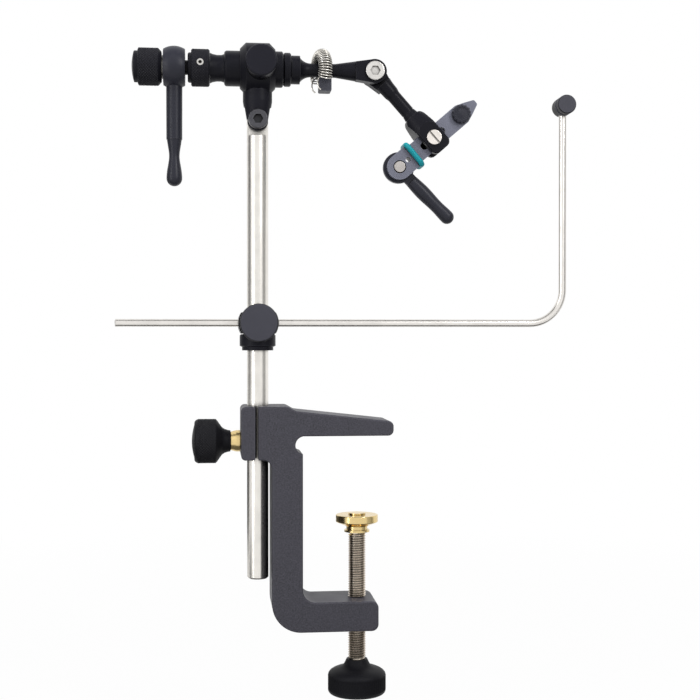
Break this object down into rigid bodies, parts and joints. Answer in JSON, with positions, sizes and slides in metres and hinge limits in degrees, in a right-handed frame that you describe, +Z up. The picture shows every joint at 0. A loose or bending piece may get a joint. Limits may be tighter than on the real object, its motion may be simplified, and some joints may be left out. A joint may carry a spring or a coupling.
{
  "type": "fly tying vise",
  "caption": "Rotary fly tying vise on a C-clamp: steel post, tilting crank-turned head, elbowed jaw arm with cam jaws, spring material clip and a bent-rod bobbin cradle.",
  "frame": {"origin": "on the clamp screw's axis, at the underside of the clamp's upper arm, which rests on the table top", "axes": "+Z up along the post, +X right from the post towards the jaws, +Y away from the tier"},
  "size_m": [0.2035, 0.033, 0.2923],
  "materials": {
    "anodised_frame": "bead-blasted, dark grey anodised",
    "black_alloy": "satin black anodised",
    "black_plastic": "matte, knurled",
    "stainless": "ground and polished",
    "spring_wire": "drawn wire",
    "bright_steel": "bright turned steel",
    "screw_steel": "threaded steel",
    "jaw_steel": "hardened, bead-blasted",
    "brass": "turned and polished",
    "bronze": "sintered",
    "teal_rubber": "moulded silicone",
    "nylon": "turned"
  },
  "bodies": {
    "clamp": {"c_clamp_frame": "anodised_frame"},
    "post_lock": {"post_lock_screw": "brass", "post_lock_knob": "black_plastic"},
    "swivel_pad": {"swivel_pad": "brass", "pad_retainer": "brass"},
    "clamp_screw": {"clamp_screw": "screw_steel", "clamp_screw_knob": "black_plastic"},
    "post": {"post": "stainless"},
    "cradle_collar": {"cradle_collar": "black_alloy"},
    "cradle_bracket": {"cradle_bracket": "black_alloy"},
    "cradle_knob": {"cradle_knob": "black_alloy"},
    "cradle_rod": {"cradle_rod": "stainless", "cradle_spool": "black_plastic"},
    "head": {"tilt_fork": "black_alloy", "tilt_bolt": "black_alloy", "head_housing": "black_alloy", "brake_pad": "nylon", "rear_sleeve": "black_alloy", "front_cap": "black_alloy", "rear_bush": "bronze", "front_bush": "bronze"},
    "brake_knob": {"brake_knob": "black_alloy"},
    "spindle": {"spindle": "screw_steel", "thrust_ring": "black_alloy", "spindle_collar": "black_alloy", "collar_set_screw": "bright_steel", "crank_arm": "black_alloy", "crank_grip": "black_alloy", "crank_washer": "bright_steel", "upper_arm": "black_alloy", "material_spring": "spring_wire", "spring_tab": "black_plastic"},
    "end_knob": {"end_knob": "black_alloy"},
    "jaw_arm": {"lower_arm": "black_alloy", "elbow_bolt": "bright_steel", "jaw_holder": "black_alloy", "holder_screw": "bright_steel"},
    "jaws": {"rear_jaw": "jaw_steel", "cam_pin": "bright_steel", "jaw_ring": "teal_rubber"},
    "front_jaw": {"front_jaw": "jaw_steel"},
    "jaw_adjuster": {"jaw_adjuster": "black_alloy"},
    "cam_lever": {"cam_lever": "black_alloy"}
  },
  "joints": [
    {"name": "post_lock_turn", "type": "hinge", "parent": "clamp", "child": "post_lock", "pos_m": [-0.06, 0, -0.00265], "axis": [1, 0, 0], "range_deg": [-180, 90]},
    {"name": "pad_slide", "type": "slide", "parent": "clamp", "child": "swivel_pad", "axis": [0, 0, 1], "range_m": [-0.028, 0.014]},
    {"name": "clamp_screw_turn", "type": "hinge", "parent": "swivel_pad", "child": "clamp_screw", "pos_m": [0, 0, -0.08], "axis": [0, 0, 1], "range_deg": [-9525, 4763]},
    {"name": "post_slide", "type": "slide", "parent": "clamp", "child": "post", "axis": [0, 0, 1], "range_m": [-0.012, 0.048]},
    {"name": "cradle_height", "type": "slide", "parent": "post", "child": "cradle_collar", "axis": [0, 0, 1], "range_m": [-0.011, 0.006]},
    {"name": "cradle_swing", "type": "hinge", "parent": "cradle_collar", "child": "cradle_bracket", "pos_m": [-0.0446, 0, 0.0498], "axis": [0, 0, 1], "range_deg": [-170, 170]},
    {"name": "cradle_knob_turn", "type": "hinge", "parent": "cradle_bracket", "child": "cradle_knob", "pos_m": [-0.0446, -0.016, 0.0498], "axis": [0, 1, 0], "range_deg": [-180, 90]},
    {"name": "cradle_rod_slide", "type": "slide", "parent": "cradle_bracket", "child": "cradle_rod", "axis": [1, 0, 0], "range_m": [-0.004, 0.04]},
    {"name": "head_tilt", "type": "hinge", "parent": "post", "child": "head", "pos_m": [-0.0446, 0, 0.1397], "axis": [0, 1, 0], "range_deg": [-20, 20]},
    {"name": "brake_knob_turn", "type": "hinge", "parent": "head", "child": "brake_knob", "pos_m": [-0.0435, -0.018, 0.163], "axis": [0, 1, 0], "range_deg": [-180, 90]},
    {"name": "spindle_turn", "type": "hinge", "parent": "head", "child": "spindle", "pos_m": [-0.0446, 0, 0.163], "axis": [1, 0, 0], "continuous": true},
    {"name": "end_knob_turn", "type": "hinge", "parent": "spindle", "child": "end_knob", "pos_m": [-0.092, 0, 0.163], "axis": [1, 0, 0], "range_deg": [-180, 90]},
    {"name": "elbow", "type": "hinge", "parent": "spindle", "child": "jaw_arm", "pos_m": [0.0076, 0, 0.1624], "axis": [0, 1, 0], "range_deg": [-40, 20]},
    {"name": "jaw_slide", "type": "slide", "parent": "jaw_arm", "child": "jaws", "axis": [0.7581, 0, 0.6521], "range_m": [-0.0045, 0.0045]},
    {"name": "cam_lever_turn", "type": "hinge", "parent": "jaws", "child": "cam_lever", "pos_m": [0.01894, 0, 0.11999], "axis": [0, 1, 0], "range_deg": [0, 90]},
    {"name": "front_jaw_open", "type": "hinge", "parent": "jaws", "child": "front_jaw", "pos_m": [0.04668, -0.0041, 0.14386], "axis": [0.6521, 0, -0.7581], "range_deg": [0, 1.2]},
    {"name": "jaw_adjuster_turn", "type": "hinge", "parent": "jaws", "child": "jaw_adjuster", "pos_m": [0.04668, -0.0055, 0.14386], "axis": [0, 1, 0], "range_deg": [-180, 180]}
  ],
  "couplings": [
    {"joint": "clamp_screw_turn", "follows": "pad_slide", "rad_per_m": 5936.9},
    {"joint": "front_jaw_open", "follows": "cam_lever_turn", "ratio": 0.013333}
  ]
}
